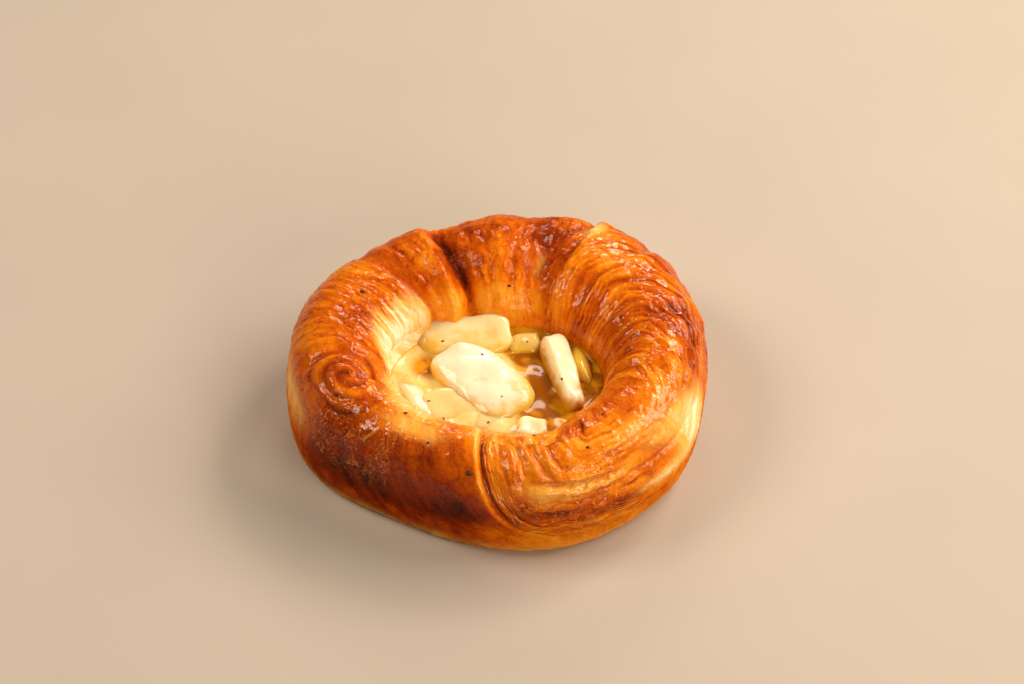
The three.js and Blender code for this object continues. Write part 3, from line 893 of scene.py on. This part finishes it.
def build_fruit(name, at, size, full, turn, tip, roll, taper, light, deep, bend=0.5):
    """A cut and cooked piece: a squared ball that is tapered, bent and rippled."""
    levels = np.linspace(-90, 90, FRUIT_ROWS + 1)[1:-1] * RAD
    level, angle = np.meshgrid(levels, np.arange(FRUIT_AROUND) * 2 * np.pi / FRUIT_AROUND, indexing="ij")

    def rounded(x):
        return np.sign(x) * np.abs(x) ** (2 / full)

    def shape(x, y, z):
        ripple = 0.35 * np.sin(2.1 * x * size[0] / 4 + turn) * np.sin(1.7 * y * size[1] / 3 + at[0])
        return np.stack([
            size[0] * x + 0.3 * np.sin(5 * y + at[1]),
            size[1] * y * (1 - taper * x) + bend * 0.6 * np.sin(4 * x + at[2]),
            size[2] * z + bend * np.sin(3.2 * x + turn) * (1 - y * y * 0.5) - 0.4 * x * x + ripple * (z > 0),
        ], -1)

    ring = rounded(np.cos(level))
    grid = shape(ring * rounded(np.cos(angle)), ring * rounded(np.sin(angle)), rounded(np.sin(level)))
    ends = [shape(np.float64(0), np.float64(0), np.float64(s)) for s in (-1, 1)]
    points = np.concatenate([[ends[0]], grid.reshape(-1, 3), [ends[1]]])
    points = points @ turning(roll, tip, turn).T + np.array(at)
    up = (points[:, 2] - CUSTARD_LEVEL) / (points[:, 2].max() - CUSTARD_LEVEL)
    faces = grid_faces(FRUIT_ROWS - 1, FRUIT_AROUND)
    piece = mesh_object(name + "_cooked", points, faces, {"up": np.clip(up, -1, 1)})
    piece.data.materials.append(fruit_material(name + "_flesh", light, deep))
    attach(piece, "root")
    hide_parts(name)
    return piece


CREEP = 1.1                 # how far the custard climbs a piece of fruit
CREEP_REACH = 1.4           # how quickly that fades away from the piece
POOL_AROUND = 220
# rows up the wall at the edge of the pool: (p, mm off the wall, below 0 in the dough)
POOL_WALL = ((180, -0.1), (176, -0.1), (172, -0.1), (168, -0.1), (166, 0.0), (165.5, 0.12))
# rows over the pool, as shares of the way to its middle
POOL_SHARES = np.concatenate([[0.02, 0.045, 0.08], np.linspace(0.12, 0.97, 46)])


def creep(x, y):
    """How far the custard climbs towards the pieces of fruit, in mm."""
    climb = np.zeros_like(x)
    for piece in FRUIT.values():
        turn = piece["turn"] * RAD
        dx, dy = x - piece["at"][0], y - piece["at"][1]
        along = (dx * math.cos(turn) + dy * math.sin(turn)) / piece["size"][0]
        aside = (dy * math.cos(turn) - dx * math.sin(turn)) / piece["size"][1]
        outside = np.maximum(0, np.hypot(along, aside) - 0.9) * min(piece["size"][:2])
        climb = np.maximum(climb, CREEP * np.exp(-outside / CREEP_REACH))
    return climb


def syrup_share(x, y):
    """1 where clear syrup lies over the custard: on the right, and in a pocket on the left."""
    return np.maximum(smooth(2, 8, x + 0.6 * np.maximum(y, 0)), bell(x + 18, 4) * bell(y - 1, 5))


def custard_height(x, y):
    """The uneven top of the custard, higher where it creeps up the fruit."""
    swell = 0.35 * np.sin(x * 0.42 + 1.0) * np.sin(y * 0.5 + 0.4) + 0.10 * np.sin(x * 0.9 + y * 0.6)
    climb = creep(x, y) * (1 - 0.85 * syrup_share(x, y))
    return CUSTARD_LEVEL + CUSTARD_SWELL + swell + climb


def build_custard():
    """The pool, closed below: it follows the wall of the well and runs on under the fruit."""
    angles = np.arange(POOL_AROUND) * 360 / POOL_AROUND
    rows = [dough_points(angles, np.full(POOL_AROUND, float(p)), off) for p, off in POOL_WALL]
    edge = rows[-1]
    centre = np.array([*WELL_CENTRE, 0])
    for share in POOL_SHARES:
        row = mix(edge, centre, share)
        near = math.exp(-share / 0.05)
        row[:, 2] = mix(custard_height(row[:, 0], row[:, 1]), edge[:, 2], near)
        rows.append(row)
    grid = np.stack(rows)
    low = np.array([[*WELL_CENTRE, WIDEST_HEIGHT - 1]])
    high = np.array([[*WELL_CENTRE, CUSTARD_LEVEL + CUSTARD_SWELL]])
    points = np.concatenate([low, grid.reshape(-1, 3), high])
    x, y = points[:, 0], points[:, 1]
    looks = {"amber": syrup_share(x, y), "gap": bell(x - 11, 3.6) * bell(y + 7, 12)}
    piece = mesh_object("custard_pool", points, grid_faces(len(grid), POOL_AROUND), looks)
    piece.data.materials.append(custard_material())
    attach(piece, "root")
    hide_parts("custard")


dough = build_dough()
build_custard()
fruit = [build_fruit(name, **sizes) for name, sizes in FRUIT.items()]


# ------------------------------------------------------------------ specks
def build_specks(name, host, material, density, size, seed):
    """Small irregular grains scattered over the upper side of a piece, as one mesh."""
    sizes = {"Density": float(density), "Grain size": size * MM, "Seed": seed}
    graph, start = geometry_tree("Scattered grains " + name, sizes)
    up = graph.node("GeometryNodeInputNormal").outputs[0]
    facing = graph.node("ShaderNodeSeparateXYZ", inputs={0: up}).outputs[2]
    seen = graph.node("FunctionNodeCompare", {"data_type": "FLOAT", "operation": "GREATER_THAN"}, {
        0: facing, 1: 0.25})
    spread = graph.node("GeometryNodeDistributePointsOnFaces", {"distribute_method": "RANDOM"}, {
        "Mesh": start.outputs["Geometry"], "Selection": seen.outputs[0],
        "Density": start.outputs["Density"], "Seed": start.outputs["Seed"]})
    ball = graph.node("GeometryNodeMeshIcoSphere", inputs={"Radius": 1.0, "Subdivisions": 2})
    squeeze = graph.node("FunctionNodeRandomValue", {"data_type": "FLOAT_VECTOR"}, {
        0: (0.5, 0.4, 0.2), 1: (1.3, 0.9, 0.5), "Seed": 7})
    amount = graph.node("ShaderNodeVectorMath", {"operation": "SCALE"}, {
        0: squeeze.outputs[0], "Scale": start.outputs["Grain size"]})
    grains = graph.node("GeometryNodeInstanceOnPoints", inputs={
        "Points": spread.outputs["Points"], "Instance": ball.outputs["Mesh"],
        "Rotation": spread.outputs["Rotation"], "Scale": amount.outputs[0]})
    finish_tree(graph, grains.outputs[0], material)
    piece = grown(host, graph, sizes, name)
    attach(piece, "root")


# (piece, grains for a square metre, size in mm, seed)
SPICE = (
    ("fruit_lump", 15000, 0.42, 3),
    ("fruit_slice_front", 16000, 0.40, 5),
    ("fruit_slab_right", 9000, 0.45, 8),
    ("fruit_slab_back_left", 14000, 0.48, 2),
    ("fruit_piece_back", 30000, 0.42, 6),
)
spice = speck_material("ground_spice", (0.10, 0.035, 0.01), (0.28, 0.12, 0.03))
for name, density, size, seed in SPICE:
    host = next(piece for piece in fruit if piece.name.startswith(name))
    build_specks("spice_on_" + name, host, spice, density, size, seed)


def build_grains(name, host, material, places):
    """Single dark grains baked onto the crust at given places of the ring: (g, p, radius in mm)."""
    surface = np.array([v.co[:] for v in host.data.vertices]) / MM
    points, faces = [], []
    ball = bmesh.new()
    bmesh.ops.create_icosphere(ball, subdivisions=2, radius=1)
    shape = np.array([v.co[:] for v in ball.verts])
    sides = [[v.index for v in f.verts] for f in ball.faces]
    ball.free()
    for number, (g, p, radius) in enumerate(places):
        at = dough_points(np.array([[float(g)]]), np.array([[float(p)]]))[0, 0]
        at = surface[np.argmin(np.linalg.norm(surface - at, axis=1))]
        knobs = 1 + 0.18 * np.sin(shape @ np.array([5.0, 7.0, 4.0]) + number)[:, None]
        faces += [[len(points) + i for i in side] for side in sides]
        points += list(shape * knobs * radius * np.array([1.2, 0.9, 0.7]) + at)
    piece = mesh_object(name, points, faces)
    piece.data.materials.append(material)
    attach(piece, "root")


CRUST_GRAINS = (
    (259.5, 51, 0.75), (245, 69, 0.4), (231.5, 94, 0.4), (208.5, 70, 0.55), (299.5, 74, 0.4), (152.5, 95, 0.6),
    (284, 112, 0.35), (196, 118, 0.3), (312, 98, 0.35), (84, 132, 0.45), (20, 120, 0.3))
pepper = speck_material("burnt_grain", (0.02, 0.008, 0.004), (0.06, 0.022, 0.008))
build_grains("grains_on_crust", dough, pepper, CRUST_GRAINS)


# ------------------------------------------------------------------ floor, lights and camera
FLOOR_REACH = 1.6
# (name, place, size, watts, colour)
LIGHTS = (
    ("key_back_right", (0.44, 0.48, 0.60), (0.24, 0.22), 3.2, (1.0, 0.84, 0.64)),
    ("window_right", (0.62, 0.14, 0.54), (0.54, 0.46), 5.6, (1.0, 0.85, 0.68)),
    ("side_left", (-0.54, 0.01, 0.60), (0.36, 0.30), 3.4, (1.0, 0.84, 0.66)),
    ("front_right", (0.44, -0.60, 0.40), (0.46, 0.34), 3.6, (1.0, 0.82, 0.64)),
    ("back_window", (0.04, 0.74, 0.44), (0.30, 0.16), 1.5, (1.0, 0.86, 0.70)),
)
LIT_PLACE = (0, 0, 0.015)
ROOM_COLOUR = (1.0, 0.82, 0.66, 1)
ROOM_LIGHT = 0.06
CAMERA_PLACE = (0, -0.6124, 0.6264)
CAMERA_TARGET = (0.0038, 0.0061, 0.0201)
CAMERA_LENS = 120


def build_floor():
    mesh = bpy.data.meshes.new("floor")
    corners = [(x * FLOOR_REACH, y * FLOOR_REACH, 0) for x, y in ((-1, -1), (1, -1), (1, 1), (-1, 1))]
    mesh.from_pydata(corners, [], [(0, 1, 2, 3)])
    floor = bpy.data.objects.new("floor", mesh)
    bpy.context.scene.collection.objects.link(floor)
    shader = Shader("pale_floor", Roughness=0.8)
    shader.set(Base_Color=shader.blend(shader.noise(60, 2, 0.5), (0.46, 0.41, 0.36), (0.50, 0.45, 0.40)))
    mesh.materials.append(shader.material)


def aim(thing, target):
    thing.rotation_euler = (Vector(target) - thing.location).to_track_quat("-Z", "Y").to_euler()


def build_lights():
    for name, place, size, watts, colour in LIGHTS:
        data = bpy.data.lights.new(name, "AREA")
        data.shape = "RECTANGLE"
        data.size, data.size_y = size
        data.energy = watts
        data.color = colour
        lamp = bpy.data.objects.new(name, data)
        lamp.location = place
        bpy.context.scene.collection.objects.link(lamp)
        aim(lamp, LIT_PLACE)
    world = bpy.data.worlds.new("soft_room")
    world.use_nodes = True
    background = world.node_tree.nodes["Background"]
    background.inputs["Color"].default_value = ROOM_COLOUR
    background.inputs["Strength"].default_value = ROOM_LIGHT
    bpy.context.scene.world = world
    bpy.context.scene.view_settings.view_transform = "Standard"


def build_camera():
    data = bpy.data.cameras.new("camera")
    data.lens = CAMERA_LENS
    data.sensor_width = 36
    camera = bpy.data.objects.new("camera", data)
    camera.location = CAMERA_PLACE
    bpy.context.scene.collection.objects.link(camera)
    aim(camera, CAMERA_TARGET)
    bpy.context.scene.camera = camera


build_floor()
build_lights()
build_camera()
